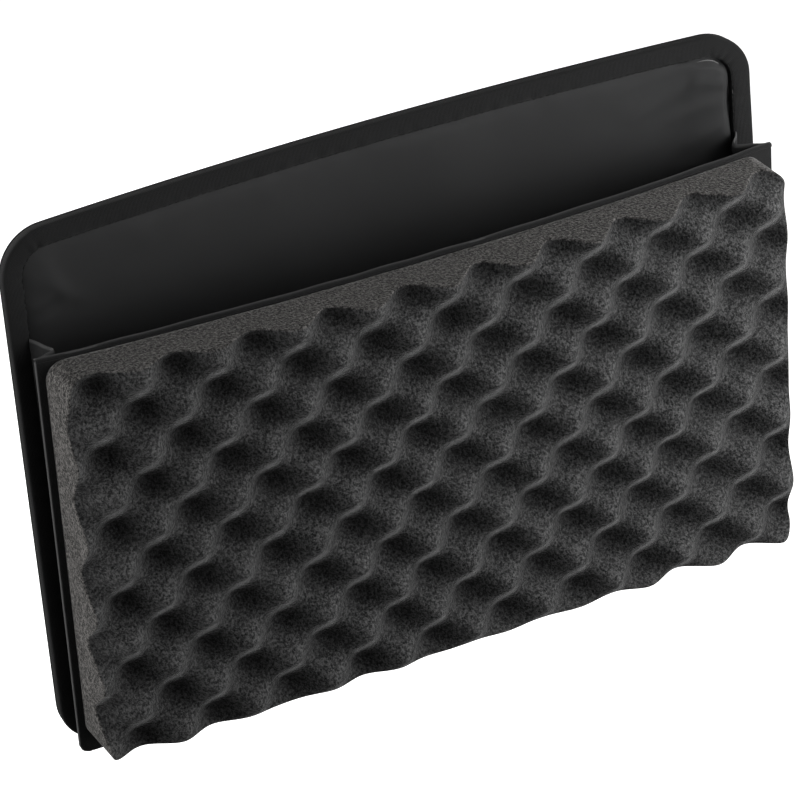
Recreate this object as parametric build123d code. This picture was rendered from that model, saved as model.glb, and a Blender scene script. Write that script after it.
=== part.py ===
from build123d import *
from math import sqrt
import os

# Document pocket for the lid of a case, with a slab of egg-crate foam on its face.
# A stiff back panel with a padded rim carries three hook tapes behind it. A thin front
# panel stands before it, joined along the foot and both sides by cloth gussets, and the
# foam is glued to its face. Both panels are bowed: their middles stand apart.
#
# Millimetres. X runs along the mouth, +Y points into the lid and +Z from foot to mouth.
# The origin is the centre of the middle tape's rear face, which lies on the lid.

# ---- Back panel: overall size and bow ----
panel_width = 362.0
panel_height = 252.0
panel_corner = 22.0
panel_bow = 10.2  # how far the middle stands behind the two ends

# ---- Back panel: layers, from the rear to the front ----
bond = 0.05  # glue line between two layers of one panel
cover_cloth = 0.6
back_board_thickness = 2.0
wadding_thickness = 1.5
lining_cloth = 0.5
rim_cloth = 0.7
rim_filler_thickness = 2.5
rim_width = 10.0
wadding_inset = 2.0  # felt edge to the rim, where the lining dips to its seam
board_inset = 1.5  # board edge to panel edge
seam_thread = 0.6  # width of the stitched line that holds the lining to the rim

# ---- Fixing tapes on the rear face ----
tape_thickness = 1.6
tape_width = 38.0
tape_length = 170.0
tape_spacing = 120.0

# ---- Front panel: place, size and bow ----
front_side_margin = 3.0  # front panel's side edge inside the back panel's
front_rise = 4.4  # front panel's foot above the back panel's foot
mouth_drop = 48.6  # front panel's top edge below the back panel's
front_corner = 5.0  # radius at the two foot corners; the mouth corners are square
foot_depth = 12.4  # rim face to front panel face at the two ends
mouth_depth = 20.2
foot_bow = 1.0  # how far the middle stands before the two ends
mouth_bow = 9.0

# ---- Front panel: layers ----
front_cloth = 0.5
front_board_thickness = 1.2
front_lining_cloth = 0.5
hem_height = 10.0  # cloth turned down inside the mouth

# ---- Foam ----
foam_margin = 3.5  # bare cloth round the foam
foam_corner = 9.0
foam_peak = 29.4  # thickness at the top of a bump
adhesive_film = 0.3
adhesive_inset = 6.0

# ---- Gussets ----
gusset_cloth = 0.6
pleat_fold = 10.0  # how far the side pleat folds in at the mouth
foot_pleat_fold = 4.0
gusset_inset = 1.8  # gusset's front edge to the front panel's side edge
gusset_lap = 0.6  # how far the gusset's rear edge lies over the rim, outside the seam
gusset_gap = 0.35  # cloth to a panel that moves, or to a neighbouring gusset
seat_gap = 0.1  # cloth to the panel it is sewn to
foot_gusset_inset = 9.0  # foot gusset's ends to the front panel's side edges

# ---- Sizes that follow ----
board_front = bond + cover_cloth + bond + back_board_thickness
lining_front = board_front + bond + wadding_thickness + bond + lining_cloth
rim_rear = board_front + bond + rim_filler_thickness + bond
rim_front = rim_rear + rim_cloth
back_radius = ((panel_width / 2) ** 2 + panel_bow**2) / (2 * panel_bow)
back_axis_y = -tape_thickness - back_radius
front_width = panel_width - 2 * front_side_margin
front_height = panel_height - front_rise - mouth_drop
foam_width = front_width - 2 * foam_margin
foam_height = front_height - 2 * foam_margin
front_thickness = front_cloth + bond + front_board_thickness + bond + front_lining_cloth
panel_foot = -panel_height / 2
front_foot = panel_foot + front_rise
front_mouth = front_foot + front_height
reach = 5.0  # how far raw layers run past an outline before they are trimmed
half_span = panel_width / 2 + reach


def back_y(x, layer):
    """Y of the back panel at x, on the arc that lies `layer` before its rear face."""
    return back_axis_y + sqrt((back_radius - layer) ** 2 - x**2)


rim_end_y = back_y(panel_width / 2, rim_front)


def arc_y(x, half, end_y, bow):
    """Y at x of the arc whose ends, at +-half, stand at end_y and whose middle is `bow` nearer -Y."""
    radius = (half**2 + bow**2) / (2 * bow)
    return end_y - bow + radius - sqrt(radius**2 - x**2)


def front_y(x, z, layer):
    """Y of the front panel at (x, z), on the surface that lies `layer` before its face."""
    share = (z - front_foot) / front_height
    depth = foot_depth + (mouth_depth - foot_depth) * share
    bow = foot_bow + (mouth_bow - foot_bow) * share
    return arc_y(x, front_width / 2, rim_end_y - depth, bow) - layer


def back_layer(outline, rear, front):
    """Bowed sheet between two concentric arcs, trimmed to an outline drawn in X and Z."""
    ring = Pos(0, back_axis_y, 0) * (
        Cylinder(back_radius - rear, 2 * panel_height) - Cylinder(back_radius - front, 2 * panel_height)
    )
    return ring & extrude(outline, 3 * panel_bow, both=True)


def front_section(z, rear, front):
    """Level slice of the front panel: the strip between two arcs, `rear` and `front` before its face."""

    def arc(layer):
        ends = [(x, front_y(x, z, layer), z) for x in (-half_span, 0, half_span)]
        return ThreePointArc(*ends)

    near, far = arc(front), arc(rear)
    return make_face([near, Line(near @ 1, far @ 1), far, Line(far @ 0, near @ 0)])


def front_layer(outline, rear, front):
    """Sheet ruled from its foot slice to its mouth slice, trimmed to an outline in X and Z."""
    levels = [front_foot - reach / 2, front_mouth + reach / 2]
    sheet = loft([front_section(z, rear, front) for z in levels], ruled=True)
    return sheet & extrude(outline, 10 * mouth_depth, both=True)


def panel_outline(inset):
    """Back panel's outline, drawn in X and Z, `inset` inside its edge."""
    size = (panel_width - 2 * inset, panel_height - 2 * inset)
    return Plane.XZ * RectangleRounded(*size, max(panel_corner - inset, 1))


def front_outline(side_inset, foot_inset, mouth_inset):
    """Front panel's outline in X and Z: square at the mouth, rounded at the foot."""
    low, high = front_foot + foot_inset, front_mouth - mouth_inset
    width = front_width - 2 * side_inset
    sheet = Pos(0, (low + high) / 2) * Rectangle(width, high - low)
    foot_corners = sheet.vertices().group_by(Axis.Y)[0]
    return Plane.XZ * fillet(foot_corners, max(front_corner - side_inset, 1))


def strip_outline(width, low, high, x=0.0):
    """Plain rectangle in X and Z."""
    return Plane.XZ * Pos(x, (low + high) / 2) * Rectangle(width, high - low)


# ---------------------------------------------------------------- back panel
def back_cover():
    """Cloth over the rear, up to the inside of the rim's edge wall."""
    return back_layer(panel_outline(rim_cloth + bond), 0, cover_cloth)


def back_board():
    """Stiff plastic board that holds the panel's shape."""
    rear = cover_cloth + bond
    return back_layer(panel_outline(board_inset), rear, rear + back_board_thickness)


def back_wadding():
    """Thin felt behind the lining, inside the rim."""
    rear = board_front + bond
    return back_layer(panel_outline(rim_width + wadding_inset), rear, rear + wadding_thickness)


def back_lining():
    """Smooth nylon sheet that the papers slide on."""
    rear = lining_front - lining_cloth
    return back_layer(panel_outline(rim_width + bond), rear, lining_front)


def rim_filler():
    """Foam strip round the panel's edge that raises the rim."""
    ring = panel_outline(board_inset) - panel_outline(rim_width - seam_thread - bond)
    return back_layer(ring, board_front + bond, board_front + bond + rim_filler_thickness)


def rim_band():
    """Cloth turned round the panel's edge: an edge wall and a front flange."""
    wall = back_layer(panel_outline(0) - panel_outline(rim_cloth), 0, rim_front)
    flange = back_layer(panel_outline(0) - panel_outline(rim_width - seam_thread), rim_rear, rim_front)
    return wall + flange


def rim_seam():
    """Stitched line between the rim and the lining, all the way round."""
    ring = panel_outline(rim_width - seam_thread + bond) - panel_outline(rim_width)
    return back_layer(ring, board_front + bond, rim_front - bond)


def side_tape(x):
    """Hook tape that follows the bowed rear face at x."""
    outline = strip_outline(tape_width, -tape_length / 2, tape_length / 2, x)
    return back_layer(outline, -tape_thickness, -bond)


def middle_tape():
    """Hook tape on the middle of the rear face, its own rear face flat on the lid."""
    block = Pos(0, -tape_thickness, 0) * Box(tape_width, 2 * tape_thickness, tape_length)
    outline = strip_outline(tape_width, -tape_length / 2, tape_length / 2)
    return block & back_layer(outline, -2 * tape_thickness, -bond)


# --------------------------------------------------------------- front panel
def front_board():
    """Thin stiff board of the front panel."""
    outline = front_outline(front_cloth + bond, front_cloth + bond, front_cloth + bond)
    return front_layer(outline, -front_cloth - bond - front_board_thickness, -front_cloth - bond)


def front_cover():
    """Cloth over the front panel's face, turned back round its sides and foot."""
    face = front_layer(front_outline(0, 0, 0), -front_cloth, 0)
    edge = front_outline(0, 0, 0) - front_outline(front_cloth, front_cloth, -reach)
    return face + front_layer(edge, -front_thickness, -front_cloth)


def front_lining():
    """Cloth inside the pocket, below the hem."""
    outline = front_outline(front_cloth + bond, front_cloth + bond, hem_height + bond)
    return front_layer(outline, -front_thickness, -front_thickness + front_lining_cloth)


def mouth_hem():
    """Cloth turned over the front panel's top edge and down inside the mouth."""
    width = front_width - 2 * (front_cloth + bond)
    top = strip_outline(width, front_mouth - front_cloth, front_mouth)
    flap = strip_outline(width, front_mouth - hem_height, front_mouth)
    over_edge = front_layer(top, -front_thickness, -front_cloth - bond)
    return over_edge + front_layer(flap, -front_thickness, -front_thickness + front_lining_cloth)


def foam_outline(inset):
    """Foam's outline in X and Z, with rounded corners."""
    size = (foam_width - 2 * inset, foam_height - 2 * inset)
    middle = (front_foot + front_mouth) / 2
    return Plane.XZ * Pos(0, middle) * RectangleRounded(*size, foam_corner)


def foam_adhesive():
    """Double-sided film between the foam and the front cover."""
    return front_layer(foam_outline(adhesive_inset), bond, bond + adhesive_film)


def foam_pad():
    """Foam slab as thick as its bumps are high; its base seats on the adhesive film."""
    return front_layer(foam_outline(0), 2 * bond + adhesive_film, foam_peak)


# ------------------------------------------------------------------- gussets
def gusset_slice(side, z, fold):
    """Level slice of a side gusset: a strip of cloth folded once towards the pocket's middle."""
    root_x = panel_width / 2 - rim_width + gusset_lap
    tip_x = front_width / 2 - gusset_inset
    rear_y = back_y(root_x, rim_front) - seat_gap
    front = front_y(tip_x, z, -front_thickness) + gusset_gap
    fold_x = root_x - fold
    fold_y = (rear_y + front) / 2
    outer = [(root_x, rear_y), (fold_x, fold_y), (tip_x, front)]
    inner = [(x - gusset_cloth, y) for x, y in reversed(outer)]
    return make_face(Polyline([(side * x, y, z) for x, y in outer + inner], close=True))


def side_gusset(side):
    """Pleated cloth wall of the pocket, from the foot gusset to the mouth."""
    foot = gusset_slice(side, front_foot + gusset_cloth + gusset_gap, foot_pleat_fold)
    mouth = gusset_slice(side, front_mouth - gusset_gap, pleat_fold)
    return loft([foot, mouth], ruled=True)


def foot_gusset():
    """Cloth floor of the pocket, between the rim and the front panel."""
    half = front_width / 2 - foot_gusset_inset
    rear = [(x, back_y(x, rim_front) - seat_gap) for x in (-half, 0, half)]
    front = [(x, front_y(x, front_foot, -front_thickness) + gusset_gap) for x in (-half, 0, half)]
    rear_arc, front_arc = ThreePointArc(*rear), ThreePointArc(*front)
    ends = [Line(rear_arc @ 1, front_arc @ 1), Line(front_arc @ 0, rear_arc @ 0)]
    floor = make_face([rear_arc, ends[0], front_arc, ends[1]])
    return Pos(0, 0, front_foot) * extrude(floor, gusset_cloth)


parts = {
    "back_cover": back_cover(),
    "back_board": back_board(),
    "back_wadding": back_wadding(),
    "back_lining": back_lining(),
    "rim_filler": rim_filler(),
    "rim_band": rim_band(),
    "rim_seam": rim_seam(),
    "left_tape": side_tape(-tape_spacing),
    "middle_tape": middle_tape(),
    "right_tape": side_tape(tape_spacing),
    "left_gusset": side_gusset(-1),
    "right_gusset": side_gusset(1),
    "foot_gusset": foot_gusset(),
    "front_board": front_board(),
    "front_cover": front_cover(),
    "front_lining": front_lining(),
    "mouth_hem": mouth_hem(),
    "foam_adhesive": foam_adhesive(),
    "foam_pad": foam_pad(),
}

os.makedirs("parts", exist_ok=True)
for name, solid in parts.items():
    export_step(solid, f"parts/{name}.step")

print(f"hinge line: y {front_y(front_width / 2, front_foot, -front_thickness):.3f}, z {front_foot:.3f}")
print(f"pocket: floor z {front_foot + gusset_cloth:.2f}, mouth z {front_mouth:.2f}")
for name, x in (("end", 150.0), ("middle", 0.0)):
    for z in (front_foot, front_mouth):
        clear = (front_y(x, z, -front_thickness), back_y(x, lining_front))
        print(f"clear at {name}, z {z:.1f}: y {clear[0]:.2f} to {clear[1]:.2f}")
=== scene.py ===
# %% [markdown]
# A document pocket for the lid of a case, faced with egg-crate foam
#
# The real thing is a stiff, slightly bowed back panel with a padded rim of woven cloth, and a
# thinner panel before it. Two pleated gussets and a cloth floor join them into a pocket, and a
# slab of convoluted foam is glued to the front. This lesson builds its looks around a packed
# CAD model, which settles every size and place.

# %% The frame
import math

import bmesh
import bpy
import numpy as np
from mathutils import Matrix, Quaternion, Vector


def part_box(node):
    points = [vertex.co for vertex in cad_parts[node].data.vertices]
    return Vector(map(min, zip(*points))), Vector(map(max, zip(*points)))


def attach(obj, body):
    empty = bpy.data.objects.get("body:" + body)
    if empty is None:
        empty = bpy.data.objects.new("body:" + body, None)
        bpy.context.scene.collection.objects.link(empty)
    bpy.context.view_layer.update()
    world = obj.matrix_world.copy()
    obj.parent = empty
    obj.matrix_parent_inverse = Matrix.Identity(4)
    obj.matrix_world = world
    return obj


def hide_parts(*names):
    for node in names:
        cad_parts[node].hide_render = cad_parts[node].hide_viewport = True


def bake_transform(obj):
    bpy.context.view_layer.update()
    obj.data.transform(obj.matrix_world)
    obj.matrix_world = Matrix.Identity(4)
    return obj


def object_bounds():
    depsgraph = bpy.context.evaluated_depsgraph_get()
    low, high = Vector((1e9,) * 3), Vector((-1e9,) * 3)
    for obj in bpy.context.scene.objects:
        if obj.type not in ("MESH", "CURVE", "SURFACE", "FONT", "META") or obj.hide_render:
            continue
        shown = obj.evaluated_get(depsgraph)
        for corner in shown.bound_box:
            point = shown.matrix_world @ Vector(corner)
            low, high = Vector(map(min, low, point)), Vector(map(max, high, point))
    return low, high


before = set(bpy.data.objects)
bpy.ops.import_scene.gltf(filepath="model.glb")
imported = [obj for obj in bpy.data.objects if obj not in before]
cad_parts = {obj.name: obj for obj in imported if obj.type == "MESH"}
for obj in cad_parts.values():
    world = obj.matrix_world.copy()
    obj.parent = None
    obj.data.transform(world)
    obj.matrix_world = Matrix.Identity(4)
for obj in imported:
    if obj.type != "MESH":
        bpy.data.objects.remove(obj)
cad_low, cad_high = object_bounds()
MM = 0.001
print("CAD model, mm:", [round((high - low) / MM, 1) for low, high in zip(cad_low, cad_high)])

# %% [markdown]
# Measuring the frame
#
# Both panels are bowed, so a flat layout has to be laid onto a curve. The back panel's layers
# are concentric arcs, and three numbers describe them all: where the middle of the rear face
# is, how far its ends stand before it, and the panel's thickness. The front panel is ruled
# between a nearly straight foot and a bowed mouth, and a straight-line fit of y against x
# squared at each of these two levels gives its shape.


# %% The back panel's arc
def node_points(name):
    """A CAD node's vertices, as an (n, 3) array in metres."""
    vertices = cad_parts[name].data.vertices
    flat = np.empty(len(vertices) * 3, np.float32)
    vertices.foreach_get("co", flat)
    return flat.reshape(-1, 3).astype(float)


def joined(*parts):
    """Arrays spread to one common shape and stacked along a new last axis."""
    return np.stack(np.broadcast_arrays(*parts), -1)


TINY = 0.1 * MM
rim_points = node_points("rim_band")
rim_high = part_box("rim_band")[1]
panel_half = np.array([rim_high.x, rim_high.z])
middle_y = rim_points[np.abs(rim_points[:, 0]) < TINY, 1]
end_y = rim_points[rim_points[:, 0] > panel_half[0] - TINY, 1]
rim_layer = middle_y.max() - middle_y.min()
panel_sag = middle_y.max() - end_y.max()
panel_corner = panel_half[0] - rim_points[rim_points[:, 2] > panel_half[1] - TINY / 10, 0].max()
back_radius = (panel_half[0] ** 2 + panel_sag**2) / (2 * panel_sag)
back_axis = middle_y.max() - back_radius


def on_back(x, z, layer):
    """A point of the back panel, on the arc whose radius is `layer` less than the rear face's."""
    y = back_axis + np.sqrt((back_radius - layer) ** 2 - x**2)
    return joined(x, y, z)


print(f"back panel: half {panel_half / MM} mm, rim {rim_layer / MM:.2f} mm thick")
print(f"corner radius {panel_corner / MM:.2f} mm")
print(f"rear face: radius {back_radius / MM:.0f} mm, sag {panel_sag / MM:.2f} mm")

# %% The front panel's ruled surface
board_points = node_points("front_board")
cover_points = node_points("front_cover")
cover_low, cover_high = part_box("front_cover")
front_half = np.array([cover_high.x, (cover_high.z - cover_low.z) / 2])
front_middle_z = (cover_high.z + cover_low.z) / 2
board_levels = np.array([board_points[:, 2].min(), board_points[:, 2].max()])
board_fits = np.array([
    np.polyfit(row[:, 0] ** 2, row[:, 1], 1)
    for row in (board_points[np.abs(board_points[:, 2] - level) < TINY] for level in board_levels)
])


def board_y(x, z):
    """Y of the board's middle surface: a + b x^2, where a and b change evenly from foot to mouth."""
    share = (z - board_levels[0]) / (board_levels[1] - board_levels[0])
    curve, middle = (board_fits[0, k] + (board_fits[1, k] - board_fits[0, k]) * share for k in (0, 1))
    return middle + curve * x**2


at_side = cover_points[:, 0] > front_half[0] - TINY
at_mouth = cover_points[:, 2] > cover_high.z - TINY
corner_y = cover_points[at_side & at_mouth, 1]
face_rise = board_y(front_half[0], cover_high.z) - corner_y.min()


def on_front(x, z, layer):
    """A point of the front panel, `layer` before its face and so towards -Y."""
    return joined(x, board_y(x, z) - face_rise - layer, z)


front_rear_layer = corner_y.min() - corner_y.max()
print(f"front panel: half {front_half / MM} mm, {-front_rear_layer / MM:.2f} mm thick")
print(f"bow: {board_fits[:, 0] * front_half[0] ** 2 / MM} mm at foot and mouth")

# %% [markdown]
# The camera and the light
#
# A case insert is shown from its left and from above, through a long lens, so that its front,
# its top edge and one side all read. Black cloth and charcoal foam return little light, and
# their shape comes from soft light that rakes across them. Two softboxes close on the right, a
# broad one in front and a small one further round, fade across the foam and draw its ridges.
# One on the left lights the cut side, one overhead the edges, and one behind the rear cover.

# %% Camera
VIEW_AZIMUTH, VIEW_ELEVATION, VIEW_ROLL = -24.304, 28.25, -5.108
VIEW_DISTANCE = 1984.1 * MM
VIEW_AIM = Vector((-10.06, -30.0, 2.85)) * MM
FOCAL_LENGTH, SENSOR_WIDTH = 203.64, 36.0
azimuth, elevation = math.radians(VIEW_AZIMUTH), math.radians(VIEW_ELEVATION)
backwards = Vector((
    math.sin(azimuth) * math.cos(elevation),
    -math.cos(azimuth) * math.cos(elevation),
    math.sin(elevation),
))
lens = bpy.data.cameras.new("camera")
lens.lens, lens.sensor_width = FOCAL_LENGTH, SENSOR_WIDTH
camera = bpy.data.objects.new("camera", lens)
camera.rotation_mode = "QUATERNION"
camera.location = VIEW_AIM + backwards * VIEW_DISTANCE
roll = Quaternion((0, 0, 1), math.radians(VIEW_ROLL))
camera.rotation_quaternion = backwards.to_track_quat("Z", "Y") @ roll
bpy.context.scene.collection.objects.link(camera)
bpy.context.scene.camera = camera
bpy.context.scene.view_settings.view_transform = "Standard"
print("camera at, mm:", [round(c / MM) for c in camera.location])


# %% Softboxes and the surrounding light
def softbox(name, place, target, size, power):
    """A square area light at `place`, turned towards `target`: metres, and a power in watts."""
    light = bpy.data.lights.new(name, "AREA")
    light.shape, light.size, light.energy = "SQUARE", size, power
    holder = bpy.data.objects.new(name, light)
    holder.location = place
    holder.rotation_mode = "QUATERNION"
    holder.rotation_quaternion = (Vector(target) - Vector(place)).to_track_quat("-Z", "Y")
    holder.visible_camera = False
    bpy.context.scene.collection.objects.link(holder)


softbox("front_softbox", (0.32, -0.54, 0.12), (0.10, -0.05, 0.0), 0.75, 3.9)
softbox("right_softbox", (0.44, -0.33, 0.13), (0.10, -0.05, 0.0), 0.35, 3.7)
softbox("left_softbox", (-0.85, 0.05, 0.08), (-0.17, -0.04, -0.03), 0.6, 8.5)
softbox("top_softbox", (0.10, 0.20, 1.25), (0.0, -0.02, 0.0), 1.1, 4.8)
softbox("rear_softbox", (-0.25, 1.1, 0.30), (0.0, 0.0, 0.0), 0.6, 6.0)
WORLD_STRENGTH = 0.13
world = bpy.data.worlds.new("studio")
world.use_nodes = True
background = world.node_tree.nodes["Background"]
background.inputs["Color"].default_value = (1.0, 1.0, 1.0, 1.0)
background.inputs["Strength"].default_value = WORLD_STRENGTH
bpy.context.scene.world = world
print("lights, W:", {light.name: round(light.energy, 1) for light in bpy.data.lights})

# %% [markdown]
# Materials as arithmetic
#
# A shader is a small calculation on each point. Written as nodes by hand it is hard to read,
# so one class wraps a socket and lets +, -, * and ** add the Math nodes. Every other node comes
# from one method, which sets the node's own settings first and then its sockets.


# %% Shader values
class Value:
    """A shader socket that does arithmetic: every operator adds one Math node."""

    def __init__(self, finish, socket):
        self.finish, self.socket = finish, socket

    def math(self, operation, *others):
        """A Math node of this kind, on this value and up to two others."""
        terms = dict(enumerate((self, *others)))
        return self.finish.node("Math", terms, operation=operation)

    def __add__(self, other):
        return self.math("ADD", other)

    def __sub__(self, other):
        return self.math("SUBTRACT", other)

    def __rsub__(self, other):
        return self.finish.node("Math", {0: other, 1: self}, operation="SUBTRACT")

    def __mul__(self, other):
        return self.math("MULTIPLY", other)

    def __pow__(self, other):
        return self.math("POWER", other)

    __radd__, __rmul__ = __add__, __mul__


print("operators that add a node: +, -, * and **")


# %% A material in the making
class Finish:
    """A material in the making, built on one Principled shader."""

    def __init__(self, name, constants=()):
        self.material = bpy.data.materials.new(name)
        self.material.use_nodes = True
        self.tree = self.material.node_tree
        self.shader = self.tree.nodes["Principled BSDF"]
        for socket, value in dict(constants).items():
            self.shader.inputs[socket].default_value = value

    def node(self, kind, sockets=(), output=0, stops=(), **settings):
        """Adds a node: first its settings, then a ramp's stops, then its sockets' values or links."""
        made = self.tree.nodes.new("ShaderNode" + kind)
        for key, value in settings.items():
            setattr(made, key, value)
        if stops:
            while len(made.color_ramp.elements) < len(stops):
                made.color_ramp.elements.new(0.5)
            for element, (place, shade) in zip(made.color_ramp.elements, stops):
                element.position, element.color = place, (shade, shade, shade, 1.0)
        for key, value in dict(sockets).items():
            self.feed(made.inputs[key], value)
        return Value(self, made.outputs[output])

    def feed(self, socket, value):
        """Links a Value to a socket, or sets the socket's own number or colour."""
        if isinstance(value, Value):
            self.tree.links.new(value.socket, socket)
        else:
            socket.default_value = value

    def mix(self, share, first, second):
        """A colour that goes from `first` to `second` as share goes from 0 to 1."""
        return self.node("Mix", {0: share, 6: first, 7: second}, output=2, data_type="RGBA")

    def noise(self, place, pitch, detail=2.0, roughness=0.5):
        """Noise from 0 to 1 whose features are about `pitch` metres wide."""
        sockets = {"Vector": place, "Scale": 1 / pitch, "Detail": detail, "Roughness": roughness}
        return self.node("TexNoise", sockets)

    def bump(self, height, depth, strength=1.0):
        """Feeds the shader's Normal with a relief `depth` metres deep for heights from 0 to 1."""
        relief = {"Height": height, "Distance": depth, "Strength": strength}
        self.paint("Normal", self.node("Bump", relief))

    def paint(self, socket, value):
        """Feeds one of the Principled shader's varying sockets."""
        self.feed(self.shader.inputs[socket], value)


def grey(shade, warmth=0.0):
    """A linear grey, warmer where warmth is above 0 and cooler below."""
    return (shade * (1 + warmth), shade, shade * (1 - warmth), 1.0)


print("a warm grey:", grey(0.2, 0.05))

# %% [markdown]
# Woven cloth
#
# The rim, the covers and the gussets are plain-weave polyester: each warp thread goes over and
# under the weft in turn, so the surface is a chequer of small pillows. The product of two sines,
# one along the warp and one along the weft, gives these pillows in one line. They follow the
# cloth round its bends, so they read the piece's own UV map, whose unit is the metre.


# %% Cloth finishes
def cloth_places(finish):
    """The two cloth coordinates, in metres, as values."""
    uv = finish.node("UVMap", uv_map="cloth")
    return uv, [finish.node("SeparateXYZ", {0: uv}, output=k) for k in (0, 1)]


# Grey of the painted highlight on folds and turned edges.
PAINTED_HIGHLIGHT_GREY = 0.060


def woven_finish(name, pitch, depth, dark, light, roughness, sheen):
    """Plain weave: the height is the root of |sin(warp) sin(weft)|, broken up by fibre noise.

    A point attribute that is 1 along folds and turned edges paints a paler tone there: a painted
    highlight.
    """
    matt = {"Sheen Weight": sheen, "Sheen Roughness": 0.45, "Specular IOR Level": 0.12}
    finish = Finish(name, matt)
    uv, (across, along) = cloth_places(finish)
    warp = (across * (math.pi / pitch)).math("SINE")
    weft = (along * (math.pi / pitch)).math("SINE")
    pillow = (warp * weft).math("ABSOLUTE") ** 0.5
    fibre = finish.noise(uv, pitch * 0.45, detail=3.0)
    patch = finish.noise(uv, 28 * MM, detail=3.0, roughness=0.6)
    thread = pillow * (0.7 + 0.6 * fibre)
    painted_highlight = finish.node("Attribute", attribute_name="painted_highlight", output=2)
    plain = finish.mix(0.75 * thread + 0.5 * patch - 0.2, grey(dark, -0.02), grey(light, -0.02))
    finish.paint("Base Color", finish.mix(painted_highlight * (0.5 + 0.5 * thread), plain, grey(PAINTED_HIGHLIGHT_GREY)))
    finish.paint("Roughness", roughness + 0.16 * (fibre - 0.5) + 0.12 * (patch - 0.5))
    finish.bump(thread, depth)
    return finish.material


woven_cloth = woven_finish("woven_cloth", 0.62 * MM, 0.16 * MM, 0.0025, 0.011, 0.80, 0.04)
gusset_cloth = woven_finish("gusset_cloth", 0.45 * MM, 0.10 * MM, 0.004, 0.014, 0.72, 0.05)
nylon_lining = woven_finish("nylon_lining", 0.30 * MM, 0.05 * MM, 0.007, 0.015, 0.50, 0.05)
print("cloth finishes:", [cloth.name for cloth in (woven_cloth, gusset_cloth, nylon_lining)])

# %% [markdown]
# Foam
#
# Egg-crate foam is open-cell polyurethane: a froth of cells a little under a millimetre wide
# with no gloss at all. Voronoi cells give the pores, and finer noise the struts between them.
# The faces that a blade has cut across are lighter and browner than the faces that the rollers
# shaped. Shade is painted into the pits, so they are darker than the peaks. The mesh carries an
# attribute for each.


# %% Foam finish
def foam_finish():
    """Pores where the distance to the nearest cell centre is small, on a slow drift of tone."""
    matt = {"Roughness": 1.0, "Specular IOR Level": 0.05, "Sheen Weight": 0.18, "Sheen Roughness": 0.25}
    finish = Finish("acoustic_foam", matt)
    place = finish.node("TexCoord", output=3)
    cut, height = (finish.node("Attribute", attribute_name=key, output=2) for key in ("cut", "height"))
    cells = finish.node("TexVoronoi", {"Vector": place, "Scale": 1 / (1.15 * MM), "Randomness": 1.0})
    pore = cells.math("SMOOTH_MIN", 0.75, 0.2) * 1.3
    strut = finish.noise(place, 0.5 * MM, detail=3.0, roughness=0.65)
    coarse = finish.noise(place, 1.4 * MM, detail=3.0, roughness=0.9)
    speckle = finish.node("ValToRGB", {0: coarse}, stops=[(0.44, 0.0), (0.60, 1.0)])
    drift = finish.noise(place, 22 * MM, detail=2.0)
    tone = 0.30 * pore + 0.20 * strut + 0.20 * drift
    # Painted shade: the moulded face's tone is scaled down towards the pits by the height attribute.
    moulded_tone_with_pit_shade = (tone + 0.80 * speckle - 0.21) * (0.31 + 0.48 * height)
    moulded = finish.mix(moulded_tone_with_pit_shade, grey(0.004, -0.03), grey(0.092))
    sliced = finish.mix(tone + 0.90 * speckle - 0.35, grey(0.012, 0.03), grey(0.112, 0.04))
    finish.paint("Base Color", finish.mix(cut, moulded, sliced))
    finish.bump(0.6 * pore + 0.4 * strut, 0.55 * MM, 0.8)
    return finish.material


acoustic_foam = foam_finish()
print(f"foam finish: {len(acoustic_foam.node_tree.nodes)} nodes")

# %% [markdown]
# The plainer materials
#
# The stiff boards are black polyethylene with a fine haircell grain. Felt and foam strip fill
# the rim, a pale double-sided film holds the foam, and black thread sews it all. Most of them
# hardly show, but each still has the surface that the real one has.


# %% Board, felt, foam strip, film and thread
def grained_finish(name, dark, light, roughness, pitch, depth, detail=4.0, specular=0.3, sheen=0.0):
    """A noise grain of one pitch that varies the tone, the roughness and the relief."""
    finish = Finish(name, {"Specular IOR Level": specular, "Sheen Weight": sheen})
    place = finish.node("TexCoord", output=3)
    grain = finish.noise(place, pitch, detail=detail, roughness=0.6)
    patch = finish.noise(place, 30 * MM)
    finish.paint("Base Color", finish.mix(0.7 * grain + 0.4 * patch, grey(dark), grey(light)))
    finish.paint("Roughness", roughness + 0.2 * (grain - 0.5))
    finish.bump(grain, depth)
    return finish.material


stiff_board = grained_finish("stiff_board", 0.016, 0.030, 0.45, 0.9 * MM, 0.05 * MM)
felt = grained_finish("felt", 0.05, 0.11, 0.95, 0.4 * MM, 0.25 * MM, detail=8.0, sheen=0.3)
foam_strip = grained_finish("foam_strip", 0.03, 0.07, 0.95, 0.7 * MM, 0.3 * MM)
adhesive = grained_finish("adhesive", 0.30, 0.42, 0.35, 1.5 * MM, 0.03 * MM, specular=0.5)
thread = grained_finish("thread", 0.003, 0.009, 0.70, 0.12 * MM, 0.03 * MM, detail=2.0, specular=0.1)
hook_nylon = grained_finish("hook_nylon", 0.014, 0.026, 0.38, 0.5 * MM, 0.03 * MM, specular=0.5)
print("materials:", [m.name for m in bpy.data.materials])

# %% [markdown]
# Meshes from grids
#
# Every soft piece here is a sheet, so one shape of data serves them all: a grid of points, with
# a grid of cloth coordinates beside it. Two such grids, a front and a rear, are closed by a wall
# round their border. Borders are built twice and then welded, so the cloth coordinates may
# differ on the two sides of a seam.


# %% Grid helpers
def grid_surface(points, cloth):
    """Points (rows, columns, 3), cloth coordinates (rows, columns, 2) and the quads between them."""
    number = np.arange(points.shape[0] * points.shape[1]).reshape(points.shape[:2])
    quads = np.stack([number[:-1, :-1], number[1:, :-1], number[1:, 1:], number[:-1, 1:]], -1)
    return points.reshape(-1, 3), cloth.reshape(-1, 2), quads.reshape(-1, 4)


def border(grid):
    """The outer ring of a grid, once round and back to its first point."""
    return np.concatenate([grid[:-1, 0], grid[-1, :-1], grid[:0:-1, -1], grid[0, ::-1]])


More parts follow.
